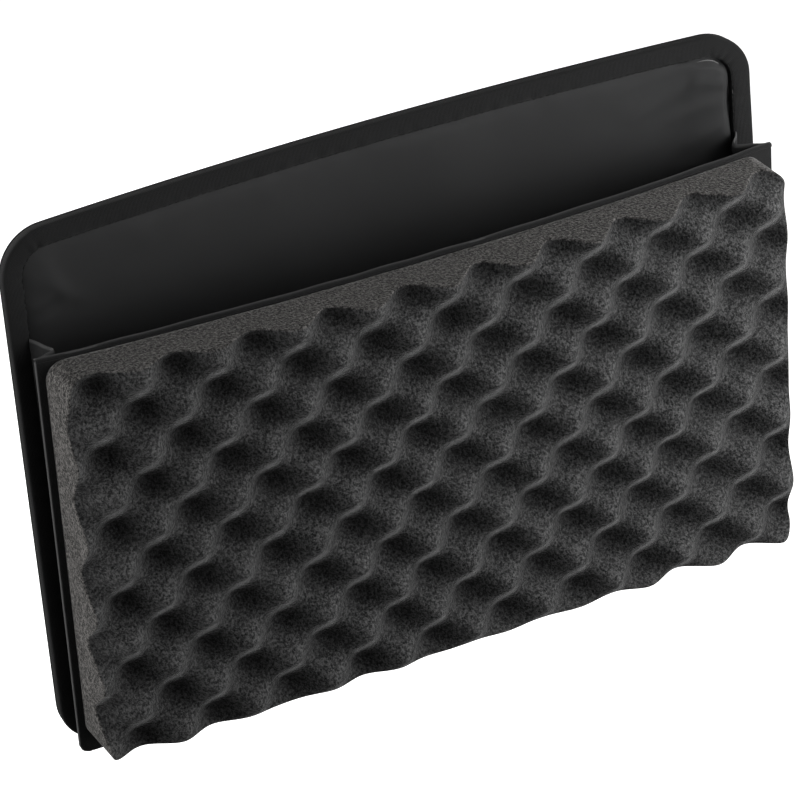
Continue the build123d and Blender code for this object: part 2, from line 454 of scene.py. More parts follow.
def closed_sheet(front, rear, cloth, rows=2):
    """Two grids and the straight wall between their borders, in `rows` bands."""
    share = np.linspace(0, 1, rows + 1)[:, None, None]
    wall = border(front) + (border(rear) - border(front)) * share
    depth = np.linalg.norm(border(rear) - border(front), axis=-1)[None, :, None] * share
    wall_cloth = border(cloth) + depth
    return [grid_surface(front, cloth), grid_surface(rear, cloth), grid_surface(wall, wall_cloth)]


def sheet_marks(front, rear, rows=2):
    """One value for each point of a closed sheet, from a grid of values on each of its sides."""
    wall = border(front) + (border(rear) - border(front)) * np.linspace(0, 1, rows + 1)[:, None]
    return np.concatenate([front.ravel(), rear.ravel(), wall.ravel()])


def layered_sheet(lay, x, z, front, rear, middle=(0.0, 0.0), rows=2):
    """A closed sheet between two layers of a panel, where `lay` is on_back or on_front.

    The grid is centred on the sheet, which gives its cloth coordinates, and then moved to `middle`.
    """
    cloth = np.stack([x, z], -1)
    x, z = x + middle[0], z + middle[1]
    return closed_sheet(lay(x, z, front), lay(x, z, rear), cloth, rows)


sample = grid_surface(np.zeros((3, 4, 3)), np.zeros((3, 4, 2)))
print(f"a grid of 3 by 4 points has {len(sample[2])} quads")


# %% Adding a piece
WELD = 0.001 * MM


def add_piece(name, surfaces, material, marks=None):
    """Joins surfaces into one welded mesh whose faces point outwards, and returns its object."""
    starts = np.cumsum([0] + [len(points) for points, _, _ in surfaces])
    points = np.concatenate([surface[0] for surface in surfaces])
    cloth = np.concatenate([surface[1] for surface in surfaces])
    quads = np.concatenate([surface[2] + start for surface, start in zip(surfaces, starts)])
    mesh = bpy.data.meshes.new(name)
    mesh.from_pydata(points.tolist(), [], quads.tolist())
    corner = np.empty(len(mesh.loops), np.int32)
    mesh.loops.foreach_get("vertex_index", corner)
    unwrapped = mesh.uv_layers.new(name="cloth")
    unwrapped.uv.foreach_set("vector", cloth[corner].astype(np.float32).ravel())
    for key, values in (marks or {}).items():
        mark = mesh.attributes.new(key, "FLOAT", "POINT")
        mark.data.foreach_set("value", values.astype(np.float32))
    work = bmesh.new()
    work.from_mesh(mesh)
    bmesh.ops.remove_doubles(work, verts=work.verts, dist=WELD)
    bmesh.ops.recalc_face_normals(work, faces=work.faces)
    work.to_mesh(mesh)
    work.free()
    mesh.shade_smooth()
    mesh.materials.append(material)
    piece = bpy.data.objects.new(name, mesh)
    bpy.context.scene.collection.objects.link(piece)
    print(f"{name}: {len(mesh.polygons)} faces")
    return piece


print(f"points closer than {WELD / MM} mm are welded")

# %% [markdown]
# Outlines, curves and creases
#
# A rounded rectangle turns up in every layer. As a filled grid, its corner squares are pushed
# onto quarter discs. As a walk round its edge, a circle rolls along the inner rectangle. Real
# cloth is never quite flat, and a handful of sine waves in random directions, all seeded, gives
# it slow ripples.


# %% Rounded rectangles as grids
def spaced(half, step, edge):
    """Places from -half to half, `step` apart, and closer together within `edge` of both ends."""
    inner = np.linspace(-half + edge, half - edge, max(int(2 * (half - edge) / step), 2))
    outer = half - edge * (1 - np.sin(np.linspace(0, math.pi / 2, 6)[1:]))
    return np.concatenate([-outer[::-1], inner, outer])


def rounded_grid(half, radii, step, edge=1.0 * MM):
    """X and Z of a grid over a rounded rectangle, and each point's distance from the edge.

    In a corner square, the offset from the arc's centre is scaled by its longest side over its
    length, so the square's border lands on the arc. `radii` are the foot's and the mouth's.
    """
    x, z = np.meshgrid(spaced(half[0], step, edge), spaced(half[1], step, edge), indexing="ij")
    radius = np.where(z < 0, *radii)
    reach_x, reach_z = np.abs(x) - half[0] + radius, np.abs(z) - half[1] + radius
    corner_x, corner_z = np.maximum(reach_x, 0), np.maximum(reach_z, 0)
    scale = np.maximum(corner_x, corner_z) / np.maximum(np.hypot(corner_x, corner_z), 1e-9)
    shrink = np.where((corner_x > 0) & (corner_z > 0), scale, 1)
    x = np.sign(x) * (np.minimum(np.abs(x), half[0] - radius) + corner_x * shrink)
    z = np.sign(z) * (np.minimum(np.abs(z), half[1] - radius) + corner_z * shrink)
    return x, z, edge_distance(x, z, half, radius)


def edge_distance(x, z, half, radius):
    """Distance inside the edge: the radius less the distance from the nearest corner's centre."""
    reach_x, reach_z = np.abs(x) - half[0] + radius, np.abs(z) - half[1] + radius
    outside = np.hypot(np.maximum(reach_x, 0), np.maximum(reach_z, 0))
    return radius - outside - np.minimum(np.maximum(reach_x, reach_z), 0)


print("places along 20 mm:", (spaced(10 * MM, 5 * MM, 1 * MM) / MM).round(1))


# %% A walk round the edge
def walk_round(half, radius, step):
    """Equal steps round a rounded rectangle, anticlockwise from the middle of its foot.

    A circle rolls along the inner rectangle: its centre moves along the sides and stops while
    its heading turns a quarter at each corner. Returns centres, outward headings and arc length.
    """
    a, b = half[0] - radius, half[1] - radius
    turn = radius * math.pi / 2
    marks = np.cumsum([0, a, turn, 2 * b, turn, 2 * a, turn, 2 * b, turn, a])
    length = np.linspace(0, marks[-1], int(marks[-1] / step))
    centre_x = np.interp(length, marks, [0, a, a, a, a, -a, -a, -a, -a, 0])
    centre_z = np.interp(length, marks, [-b, -b, -b, b, b, b, b, -b, -b, -b])
    heading = np.interp(length, marks, np.array([-1, -1, 0, 0, 1, 1, 2, 2, 3, 3]) * math.pi / 2)
    outward = np.stack([np.cos(heading), np.sin(heading)], -1)
    return np.stack([centre_x, centre_z], -1), outward, length


print(f"round the rim: {walk_round(panel_half, panel_corner, MM)[2][-1] / MM:.0f} mm")


# %% Smooth paths
def smooth_path(points, steps=6):
    """Cubic B-spline from the first point to the last, in mm turned into metres.

    Each stretch mixes four neighbours with the weights (1-t)^3, 3t^3-6t^2+4, -3t^3+3t^2+3t+1
    and t^3, over 6. Each end is mirrored once, so the path starts and stops on its end points.
    """
    points = np.array(points, float) * MM
    padded = np.vstack([2 * points[0] - points[1], points, 2 * points[-1] - points[-2]])
    t = (np.arange(steps) / steps)[:, None]
    weights = [(1 - t) ** 3, 3 * t**3 - 6 * t**2 + 4, -3 * t**3 + 3 * t**2 + 3 * t + 1, t**3]
    starts = range(len(padded) - 3)
    stretches = [sum(w * padded[k + n] for n, w in enumerate(weights)) / 6 for k in starts]
    return np.vstack([*stretches, points[-1:]])


def left_normals(path):
    """Unit normals to the left of a path in a plane: its direction (u, v) turned to (-v, u)."""
    along = np.gradient(path, axis=0)
    return np.stack([-along[..., 1], along[..., 0]], -1) / np.linalg.norm(along, axis=-1)[..., None]


def path_length(points):
    """Distance along a path to each of its points."""
    return np.concatenate([[0], np.cumsum(np.linalg.norm(np.diff(points, axis=0), axis=1))])


def read_along(places, length, values):
    """Rows of `values`, given at each `length` along a path, read off at other places."""
    return np.stack([np.interp(places, length, column) for column in values.T], -1)


print("a smooth corner, mm:", (smooth_path([(0, 0), (1, 0), (1, 1)], 1) / MM).round(2).tolist())


# %% Ripples, puckers and creases
def ripples(x, z, shortest, longest, seed, count=9):
    """Slow unevenness of about unit size: sines of random direction, phase and length, added up."""
    rng = np.random.default_rng(seed)
    angles, phases = rng.uniform(0, math.pi, count), rng.uniform(0, 2 * math.pi, count)
    waves = 2 * math.pi / rng.uniform(shortest, longest, count)
    turns = zip(waves, angles, phases)
    total = sum(np.sin(w * (x * np.cos(a) + z * np.sin(a)) + p) for w, a, p in turns)
    return total * math.sqrt(2 / count)


def puckers(length, shortest, longest, seed, count=7):
    """Unevenness along a closed seam: sines with whole numbers of waves round it, added up."""
    rng = np.random.default_rng(seed)
    whole = rng.integers(int(length[-1] / longest), int(length[-1] / shortest), count)
    phases = rng.uniform(0, 2 * math.pi, count)
    turn = 2 * math.pi * length / length[-1]
    return sum(np.sin(turn * n + p) for n, p in zip(whole, phases)) * math.sqrt(2 / count)


def crease(x, z, start, end, width, height):
    """A soft ridge from start to end: a bell across it, which fades towards both ends."""
    start, end = np.array(start) * MM, np.array(end) * MM
    along = end - start
    share = ((x - start[0]) * along[0] + (z - start[1]) * along[1]) / (along @ along)
    across = ((x - start[0]) * along[1] - (z - start[1]) * along[0]) / np.linalg.norm(along)
    fade = np.clip(4 * share * (1 - share), 0, 1) ** 0.7 * ((share > 0) & (share < 1))
    return height * MM * np.exp(-((across / (width * MM)) ** 2)) * fade


def smoothstep(value, low, high):
    """0 below low, 1 above high and 3t^2 - 2t^3 between."""
    t = np.clip((value - low) / (high - low), 0, 1)
    return t * t * (3 - 2 * t)


print("smoothstep from 1 to 3:", smoothstep(np.array([0, 1, 2, 3, 4]), 1, 3))

# %% [markdown]
# Stitches
#
# A machine stitch is a short arch of thread that dives into the cloth at both ends. One small
# tapered tube is worked out once, and numpy copies it to every place along a seam, turned to
# the seam's direction. A few dozen faces each are plenty for something three millimetres long.


# %% Stitch rows
STITCH_PITCH, STITCH_LENGTH, STITCH_RADIUS = 3.2 * MM, 2.5 * MM, 0.22 * MM
STITCH_SIDES, STITCH_RINGS = 6, 7


def copies(local, places, axes):
    """One surface of many: a small grid of points, turned to each place's axes and set there."""
    points = places[:, None, None, :] + np.einsum("rck,nkd->nrcd", local, axes)
    cloth = np.broadcast_to(local[..., :2], points.shape[:3] + (2,))
    quads = grid_surface(points[0], cloth[0])[2]
    starts = np.arange(len(places)) * local.shape[0] * local.shape[1]
    return points.reshape(-1, 3), cloth.reshape(-1, 2), (quads + starts[:, None, None]).reshape(-1, 4)


def stitch_row(path, normal):
    """Stitches at equal steps along a path of points with unit normals, as one surface.

    Along each stitch the tube's radius is r times the root of 1 - t^4, and its middle stands at
    r (0.5 - 1.1 t^2), so its ends dive into the cloth.
    """
    length = path_length(path)
    places = np.arange(STITCH_PITCH / 2, length[-1] - STITCH_PITCH / 4, STITCH_PITCH)
    middle, up = read_along(places, length, path), read_along(places, length, normal)
    ahead = read_along(places + STITCH_LENGTH / 2, length, path) - middle
    along = ahead / np.linalg.norm(ahead, axis=1)[:, None]
    side = np.cross(up, along)
    t = np.linspace(-1, 1, STITCH_RINGS)[:, None]
    angle = np.linspace(0, 2 * math.pi, STITCH_SIDES + 1)[None, :]
    swell = STITCH_RADIUS * np.sqrt(1 - t**4)
    rise = STITCH_RADIUS * (0.5 - 1.1 * t**2)
    local = joined(t * STITCH_LENGTH / 2, swell * np.cos(angle), swell * np.sin(angle) + rise)
    return copies(local, middle, np.stack([along, side, up], 1))


def back_normal(x, layer_side):
    """Unit normals of the back panel at x, towards the viewer for 1 and towards the lid for -1."""
    outward = np.stack([-x / back_radius, -np.sqrt(1 - (x / back_radius) ** 2), np.zeros_like(x)], -1)
    return outward * layer_side


print(f"stitches: {STITCH_LENGTH / MM:.1f} mm long, one every {STITCH_PITCH / MM:.1f} mm")

# %% [markdown]
# The rim band
#
# A strip of woven cloth is sewn to the lining, turned over a foam strip and round the panel's
# edge, and sewn down again behind. So its section is an open path with a rounded crown, and the
# walk round the panel carries that path. The stitching pulls the cloth in at short intervals,
# which shows as small puckers near the seam, and the cloth gathers more at the corners.

# %% The band's section
BAND_CLOTH = 0.6 * MM
# Inset and layer in mm: from the seam in front, over the crown and round to the seam behind.
BAND_SECTION = [
    (10.2, 3.6), (10.1, 4.6), (9.8, 5.5), (9.0, 6.0), (7.2, 6.2), (5.2, 6.3), (3.2, 6.25),
    (1.9, 6.15), (0.85, 5.85), (0.5, 4.9), (0.65, 3.2), (0.8, 1.6), (1.2, 0.3), (2.4, -0.4),
    (4.5, -0.6), (7.2, -0.62), (9.0, -0.6),
]
band_path = smooth_path(BAND_SECTION, steps=3)
band_outer = band_path + left_normals(band_path) * BAND_CLOTH
band_loop = np.vstack([band_path, band_outer[::-1], band_path[:1]])
band_flat = path_length(band_path)
band_cloth = np.concatenate([band_flat, band_flat[::-1], band_flat[:1]])
rim_centre, rim_outward, rim_length = walk_round(panel_half, panel_corner, 1.5 * MM)
corner_share = smoothstep(np.abs(rim_outward).min(1), 0.02, 0.35)
print(f"section: {len(band_path)} points, {band_flat[-1] / MM:.1f} mm; walk: {len(rim_length)} steps")


# %% Rim band
def band_points(inset, layer):
    """The band at each step of the walk (rows) and each point of its section (columns).

    Puckers lift the cloth by up to a third of a millimetre between the crown and the seam, and
    slow swells widen and narrow the crown.
    """
    front = smoothstep(layer, 3 * MM, 5.5 * MM)
    near_seam = smoothstep(inset, 4 * MM, 9 * MM)
    fine = puckers(rim_length, 6 * MM, 11 * MM, seed=3)
    slow = puckers(rim_length, 45 * MM, 130 * MM, seed=4)
    gather = puckers(rim_length, 5 * MM, 9 * MM, seed=5)
    lift = 0.13 * MM * fine[:, None] * near_seam * front + 0.14 * MM * slow[:, None] * front
    crumple = corner_share * np.where(rim_outward[:, 0] < 0, 1.0, 0.4)
    lift = lift + 0.26 * MM * (gather * crumple)[:, None] * front * (0.3 + 0.7 * near_seam)
    pull = 0.15 * MM * (slow + 0.6 * fine)[:, None] * near_seam
    place = rim_centre[:, None, :] + rim_outward[:, None, :] * (panel_corner - inset - pull)[..., None]
    return on_back(place[..., 0], place[..., 1], layer + lift)


band_inset, band_layer = band_loop[None, :, 0], band_loop[None, :, 1]
band_grid = band_points(band_inset, band_layer)
band_uv = joined(rim_length[:, None], band_cloth[None, :])
rim_band = add_piece("rim_band_cloth", [grid_surface(band_grid, band_uv)], woven_cloth)
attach(rim_band, "back_panel")
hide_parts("rim_band")
band_strip = (2 * panel_half.sum() * 2 - 8 * panel_corner + 2 * math.pi * panel_corner, band_flat[-1])
print(f"rim band: a strip {band_strip[0] / MM:.0f} by {band_strip[1] / MM:.1f} mm")


# %% Rim stitching, before and behind
def rim_line(inset, layer, side):
    """A line round the panel at one inset and layer, with its normals."""
    place = rim_centre + rim_outward * (panel_corner - inset)
    return on_back(place[:, 0], place[:, 1], layer), back_normal(place[:, 0], side)


front_stitches = stitch_row(*rim_line(inset=9.75 * MM, layer=5.55 * MM, side=1))
rear_stitches = stitch_row(*rim_line(inset=7.6 * MM, layer=-0.68 * MM, side=-1))
rim_stitching = add_piece("rim_stitching", [front_stitches, rear_stitches], thread)
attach(rim_stitching, "back_panel")
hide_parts("rim_seam")

# %% [markdown]
# The lining and the rear cover
#
# The lining is a smooth nylon sheet over thin felt. It puffs a little over the felt, dives to
# its seam at the rim, and creases where it is held at the corners. On the right it stands proud
# of the seam, so a dark groove runs beside the rim. The rear cover is drawn flat over the board.

# %% Lining
LINING_INSET, LINING_CLOTH = 9.5 * MM, 0.45 * MM
LINING_SEAM, LINING_PUFF, PUFF_REACH = 4.1 * MM, 1.25 * MM, 3.2 * MM
lining_half = panel_half - LINING_INSET
lining_radii = [panel_corner - LINING_INSET] * 2
lining_x, lining_z, lining_edge = rounded_grid(lining_half, lining_radii, 1.9 * MM, 2.2 * MM)
lining_puff = 1 - np.exp(-lining_edge / PUFF_REACH)
lining_layer = LINING_SEAM + LINING_PUFF * lining_puff
lining_layer += 0.30 * MM * ripples(lining_x, lining_z, 50 * MM, 160 * MM, seed=11) * lining_puff
fine = ripples(lining_x, lining_z, 9 * MM, 22 * MM, seed=12) * np.exp(-lining_edge / (14 * MM))
lining_layer += 0.07 * MM * fine
right_share = smoothstep(lining_x, lining_half[0] - 34 * MM, lining_half[0] - 3 * MM)
right_share *= smoothstep(lining_z, -60 * MM, 60 * MM)
uneven = 0.65 * MM * ripples(lining_x, lining_z, 9 * MM, 26 * MM, seed=13)
groove = smoothstep(lining_edge + uneven, 1.1 * MM, 2.8 * MM)
lining_layer += right_share * (1.7 * MM * groove - 1.6 * MM * (1 - groove))
gathers = ripples(0.15 * lining_x, lining_z, 6 * MM, 13 * MM, seed=14) * np.exp(-lining_edge / (7 * MM))
lining_layer += 0.16 * MM * right_share * groove * gathers
print(f"lining before its creases: up to {lining_layer.max() / MM:.2f} mm before the rear face")

# %% The lining's creases
# Start, end, width and height in mm: the right corner's, then the left corner's and the top's.
CREASES = [
    ((170, 96), (138, 88), 3.5, 0.7), ((171, 84), (146, 74), 2.6, 0.6),
    ((171, 101), (150, 106), 2.2, 0.5), ((170, 62), (140, 66), 3.0, 0.5),
    ((166, 112), (120, 92), 4.0, 0.6), ((158, 115), (150, 96), 3.0, 0.5),
    ((-170, 104), (-140, 84), 4.0, 0.5), ((-164, 114), (-150, 86), 3.5, 0.5),
    ((-171, 88), (-158, 92), 2.0, 0.5), ((-171, 80), (-150, 84), 3.0, 0.4),
    ((-120, 115), (-108, 100), 4.0, 0.35), ((-60, 115), (-48, 102), 5.0, 0.3),
]
for start, end, width, height in CREASES:
    lining_layer += crease(lining_x, lining_z, start, end, width, height) * lining_puff
lining_rear = lining_layer - LINING_CLOTH
lining_sheet = layered_sheet(on_back, lining_x, lining_z, lining_layer, lining_rear)
back_lining = add_piece("back_lining_sheet", lining_sheet, nylon_lining)
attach(back_lining, "back_panel")
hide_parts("back_lining")
lining_range = lining_layer.min() / MM, lining_layer.max() / MM
print("lining before the rear face, mm: {:.2f} to {:.2f}".format(*lining_range))

# %% Rear cover
COVER_INSET, COVER_CLOTH = 0.9 * MM, 0.5 * MM
rear_half = panel_half - COVER_INSET
rear_x, rear_z, rear_edge = rounded_grid(rear_half, [panel_corner - COVER_INSET] * 2, 2.4 * MM)
rear_swell = ripples(rear_x, rear_z, 60 * MM, 170 * MM, seed=15)
rear_layer = 0.05 * MM - 0.06 * MM * rear_swell * smoothstep(rear_edge, 0, 20 * MM)
rear_sheet = layered_sheet(on_back, rear_x, rear_z, rear_layer, rear_layer + COVER_CLOTH)
back_cover = add_piece("back_cover_sheet", rear_sheet, woven_cloth)
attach(back_cover, "back_panel")
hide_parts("back_cover")

# %% [markdown]
# The front panel's cloth
#
# The front cover is wrapped round the board: flat over the face, round its edge, and turned in
# behind. A grid makes the face, rings carried out from its border make the wrapped edge, and a
# Solidify modifier gives the cloth its thickness. Along the mouth a separate strip is folded
# over the edge and stitched down inside, and its rounded top catches the light. A paler tone is
# painted along the wrapped edge and along the hem's fold as a highlight.

# %% The front cover's face
EDGE_ROUND = 1.0 * MM
FOOT_CORNER, MOUTH_CORNER = 5.0 * MM, 2.0 * MM
face_half = front_half - EDGE_ROUND
face_radii = (FOOT_CORNER - EDGE_ROUND, MOUTH_CORNER - EDGE_ROUND)
face_x, face_z, face_edge = rounded_grid(face_half, face_radii, 2.4 * MM)
face_swell = ripples(face_x, face_z, 40 * MM, 120 * MM, seed=21)
face_layer = 0.05 * MM * face_swell * smoothstep(face_edge, 0, 12 * MM)
face_grid = on_front(face_x, face_z + front_middle_z, face_layer)
print(f"front cover's face: {2 * face_half / MM} mm")

# %% The front cover's wrapped edge
FRONT_CLOTH = 0.45 * MM
# Inset and layer in mm: from the face, round the edge and to the cloth's end behind.
EDGE_SECTION = [
    (1.0, 0.0), (0.35, -0.05), (0.0, -0.5), (0.0, -1.2), (0.1, -1.8), (0.8, -2.15), (1.9, -2.2),
]
edge_path = smooth_path(EDGE_SECTION, steps=3)
face_border = np.stack([border(face_x), border(face_z)], -1)
border_radius = np.where(face_border[:, 1] < 0, FOOT_CORNER, MOUTH_CORNER) - EDGE_ROUND
inner_half = face_half - border_radius[:, None]
face_outward = face_border - np.clip(face_border, -inner_half, inner_half)
face_outward /= np.linalg.norm(face_outward, axis=1)[:, None]
ring_place = face_border + face_outward * (EDGE_ROUND - edge_path[:, 0])[:, None, None]
ring_layer = np.broadcast_to(edge_path[:, 1][:, None], ring_place.shape[:2])
ring_grid = on_front(ring_place[..., 0], ring_place[..., 1] + front_middle_z, ring_layer)
ring_grid[0] = border(face_grid)
face_uv = np.stack([face_x, face_z], -1)
ring_uv = border(face_uv) + face_outward * path_length(edge_path)[:, None, None]
# Painted highlight: a paler tone along the outer turn of the wrapped edge.
edge_painted_highlight = 1 - smoothstep(edge_path[:, 0], 0.1 * MM, 0.6 * MM)
ring_painted_highlight = np.broadcast_to(edge_painted_highlight[:, None], ring_layer.shape)
cover_surfaces = [grid_surface(face_grid, face_uv), grid_surface(ring_grid, ring_uv)]
cover_marks = {"painted_highlight": np.concatenate([np.zeros(face_x.size), ring_painted_highlight.ravel()])}
front_cover = add_piece("front_cover_cloth", cover_surfaces, woven_cloth, marks=cover_marks)
thickness = front_cover.modifiers.new("cloth", "SOLIDIFY")
thickness.thickness, thickness.offset = FRONT_CLOTH, -1.0
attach(front_cover, "front_panel")
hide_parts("front_cover")

# %% Front lining
INSIDE_CLOTH = 0.4 * MM
hem_height = cover_high.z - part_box("mouth_hem")[0].z
inside_half = np.array([front_half[0] - 1.3 * MM, (2 * front_half[1] - hem_height) / 2 - 1.0 * MM])
inside_middle = (0.0, front_middle_z - hem_height / 2)
inside_x, inside_z, inside_edge = rounded_grid(inside_half, (4.0 * MM, 1.0 * MM), 2.6 * MM)
inside_swell = ripples(inside_x, inside_z, 40 * MM, 120 * MM, seed=23)
inside_layer = -2.2 * MM - 0.25 * MM * smoothstep(inside_edge, 0, 4 * MM)
inside_layer -= 0.12 * MM * inside_swell * smoothstep(inside_edge, 0, 15 * MM)
inside_front = inside_layer - INSIDE_CLOTH
inside_sheet = layered_sheet(on_front, inside_x, inside_z, inside_front, inside_layer, inside_middle)
front_lining = add_piece("front_lining_sheet", inside_sheet, nylon_lining)
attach(front_lining, "front_panel")
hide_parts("front_lining")

# %% Mouth hem
HEM_CLOTH = 0.45 * MM
# Drop below the mouth and layer in mm: from the face, over the fold and down inside the pocket.
HEM_SECTION = [
    (1.5, 0.30), (0.7, 0.34), (0.1, 0.1), (-0.15, -0.6), (-0.2, -1.4), (-0.1, -2.2), (0.5, -2.75),
    (1.6, -2.9), (4.0, -2.85), (7.0, -2.8), (9.2, -2.8), (10.2, -2.85),
]
hem_path = smooth_path(HEM_SECTION, steps=4)
hem_inner = hem_path + left_normals(hem_path) * HEM_CLOTH
hem_x = np.linspace(-1, 1, 220)[:, None] * (front_half[0] - 0.2 * MM)
hem_wave = 0.10 * MM * ripples(hem_x, 0, 14 * MM, 40 * MM, seed=25)
hem_wave += 0.12 * MM * ripples(hem_x, 0, 60 * MM, 150 * MM, seed=26)


def hem_grid(path):
    """The hem's section (drop below the mouth, layer) carried along the mouth, slightly waved."""
    return on_front(hem_x, cover_high.z - path[None, :, 0] + hem_wave, path[None, :, 1])


hem_uv = joined(hem_x, path_length(hem_path)[None, :])
# Painted highlight: a paler tone along the hem's rounded top, near the fold.
near_fold = np.exp(-(((hem_path[:, 1] + 1.5 * MM) / (0.8 * MM)) ** 2)) * (hem_path[:, 0] < 0.6 * MM)
hem_painted_highlight = near_fold + 0 * hem_x
hem_marks = {"painted_highlight": sheet_marks(hem_painted_highlight, 0 * hem_painted_highlight)}
hem_sheet = closed_sheet(hem_grid(hem_path), hem_grid(hem_inner), hem_uv)
mouth_hem = add_piece("mouth_hem_fold", hem_sheet, woven_cloth, marks=hem_marks)
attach(mouth_hem, "front_panel")
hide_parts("mouth_hem")

# %% Hem stitching
HEM_SEAM_DROP, HEM_SEAM_LAYER = 8.2 * MM, -2.86 * MM
hem_line = on_front(hem_x[:, 0], cover_high.z - HEM_SEAM_DROP, HEM_SEAM_LAYER)
hem_normal = np.tile([0.0, 1.0, 0.0], (len(hem_line), 1))
hem_stitching = add_piece("hem_stitching", [stitch_row(hem_line, hem_normal)], thread)
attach(hem_stitching, "front_panel")

# %% [markdown]
# The foam
#
# Convoluted foam is squeezed between two studded rollers and split while it is squeezed, so its
# two halves spring back into a chequer of peaks and pits. The product of two cosines has exactly
# that chequer. The slab is then cut to size with a blade, which leaves flat sides whose top edge
# rises and falls with the bumps. The bumps decide where the cuts lie, so they are a few
# millimetres off the plain CAD slab's.

# %% The foam's bumps
FOAM_PITCH, FOAM_TURN = 17.87 * MM, 0.026
FOAM_PIT = np.array([1.3, -15.8]) * MM
FOAM_MEAN, FOAM_SWING, FOAM_POINT = 22.1 * MM, 7.4 * MM, 0.25


def foam_thickness(x, z):
    """Thickness: the mean less the swing times w = cos(pi i) cos(pi j), in bump steps i and j.

    A little of sin(pi w / 2) is taken off w, which leaves the peaks and pits more pointed.
    The steps are turned a little from the slab's sides. Slow waves bend the rows by half a
    millimetre and change the bumps' height, as in real foam.
    """
    across = (x - FOAM_PIT[0] + 0.5 * MM * ripples(x, z, 60 * MM, 140 * MM, seed=31)) / FOAM_PITCH
    down = (FOAM_PIT[1] - z + 0.5 * MM * ripples(x, z, 60 * MM, 140 * MM, seed=32)) / FOAM_PITCH
    i = math.cos(FOAM_TURN) * across - math.sin(FOAM_TURN) * down
    j = math.sin(FOAM_TURN) * across + math.cos(FOAM_TURN) * down
    swing = FOAM_SWING * (1 + 0.03 * ripples(x, z, 30 * MM, 70 * MM, seed=33))
    wave = np.cos(math.pi * i) * np.cos(math.pi * j)
    return FOAM_MEAN - swing * ((1 + FOAM_POINT) * wave - FOAM_POINT * np.sin(math.pi / 2 * wave))


print(f"at the middle pit, mm: {foam_thickness(*FOAM_PIT) / MM:.1f}")

# %% Foam pad
FOAM_CORNER, FOAM_EDGE, FOAM_SEAT = 9.0 * MM, 0.8 * MM, 0.4 * MM
FOOT_TRIM, RIGHT_TRIM, MOUTH_GROWTH = 3.5 * MM, 3.0 * MM, 1.6 * MM
PIT_THICKNESS, PEAK_THICKNESS = 13 * MM, 31 * MM
FOAM_ROWS = 14
pad_low, pad_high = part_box("foam_pad")
foam_low = np.array([pad_low.x, pad_low.z + FOOT_TRIM])
foam_high = np.array([pad_high.x - RIGHT_TRIM, pad_high.z + MOUTH_GROWTH])
foam_half, foam_middle = (foam_high - foam_low) / 2, (foam_high + foam_low) / 2
foam_x, foam_z, foam_edge = rounded_grid(foam_half, (FOAM_CORNER, FOAM_CORNER), 1.3 * MM, FOAM_EDGE)
near_edge = np.maximum(FOAM_EDGE - foam_edge, 0)
round_off = FOAM_EDGE - np.sqrt(np.maximum(FOAM_EDGE**2 - near_edge**2, 0))
foam_layer = foam_thickness(foam_x + foam_middle[0], foam_z + foam_middle[1]) - round_off
foam_surfaces = layered_sheet(on_front, foam_x, foam_z, foam_layer, FOAM_SEAT, foam_middle, FOAM_ROWS)
face_cut = 1 - smoothstep(foam_edge.ravel(), 0.2 * FOAM_EDGE, FOAM_EDGE)
# Painted shade: the height attribute is 0 in the pits and 1 on the peaks, and darkens the pits' colour.
face_height = smoothstep(foam_layer.ravel(), PIT_THICKNESS, PEAK_THICKNESS)
other_points = np.ones(sum(len(points) for points, _, _ in foam_surfaces[1:]))
foam_marks = {
    "cut": np.concatenate([face_cut, other_points]),
    "height": np.concatenate([face_height, other_points]),
}
foam_pad = add_piece("foam_pad_eggcrate", foam_surfaces, acoustic_foam, marks=foam_marks)
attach(foam_pad, "front_panel")
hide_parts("foam_pad")
print(f"foam: {2 * foam_half / MM} mm")
print(f"thickness: {foam_layer.min() / MM:.1f} to {foam_layer.max() / MM:.1f} mm")

# %% [markdown]
# The gussets
#
# Each side of the pocket is closed by a strip of cloth folded once inwards, like a bellows, so
# the mouth can open and close. Its top edge is hemmed, and sags a little at the fold. The path
# across the strip is a soft V: the straight line from rim to front panel, pulled inwards by the
# fold's depth times one minus a rounded |2a - 1|.

# %% The gusset's fold
GUSSET_CLOTH, GUSSET_HEM = 0.5 * MM, 6.0 * MM
FOLD_ROUND, FOLD_FOOT = 0.14, 3.0 * MM
gusset_foot, gusset_mouth = (corner.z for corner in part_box("left_gusset"))
root_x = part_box("back_lining")[1].x + 0.9 * MM
tip_x = front_half[0] - 1.9 * MM
seam_layer = rim_layer + 0.05 * MM
root_y = on_back(root_x, 0.0, seam_layer)[1]
across_strip = np.linspace(0, 1, 61)[:, None]
near_mouth = 0.95 + 0.05 * np.sin(np.linspace(0, math.pi / 2, 14))[1:]
up_strip = np.concatenate([np.linspace(0, 0.95, 90), near_mouth])[None, :]


def rounded_v(a):
    """1 at a = 0 and 1 and 0 at a = 1/2: (sqrt(t^2 + r^2) - r) / (sqrt(1 + r^2) - r), t = 2a - 1."""
    t = 2 * a - 1
    return (np.sqrt(t**2 + FOLD_ROUND**2) - FOLD_ROUND) / (math.sqrt(1 + FOLD_ROUND**2) - FOLD_ROUND)


def gusset_middle(fold_mouth, sag):
    """The right strip's middle surface: rows run across it and columns from its foot to its mouth.

    The fold grows evenly from FOLD_FOOT to fold_mouth. The top sags by `sag` at the fold.
    """
    inwards = 1 - rounded_v(across_strip)
    fold = FOLD_FOOT + (fold_mouth - FOLD_FOOT) * up_strip
    drop = sag * inwards * smoothstep(up_strip, 0.8, 1.0)
    x = root_x + (tip_x - root_x) * across_strip - fold * inwards
    z = gusset_foot + (gusset_mouth - gusset_foot) * up_strip - drop
    tip_y = board_y(tip_x, z) - face_rise - front_rear_layer + 0.75 * MM
    return x, root_y + (tip_y - root_y) * across_strip, z, tip_y.max()


print(f"the gussets span x {root_x / MM:.1f} to {tip_x / MM:.1f} mm")


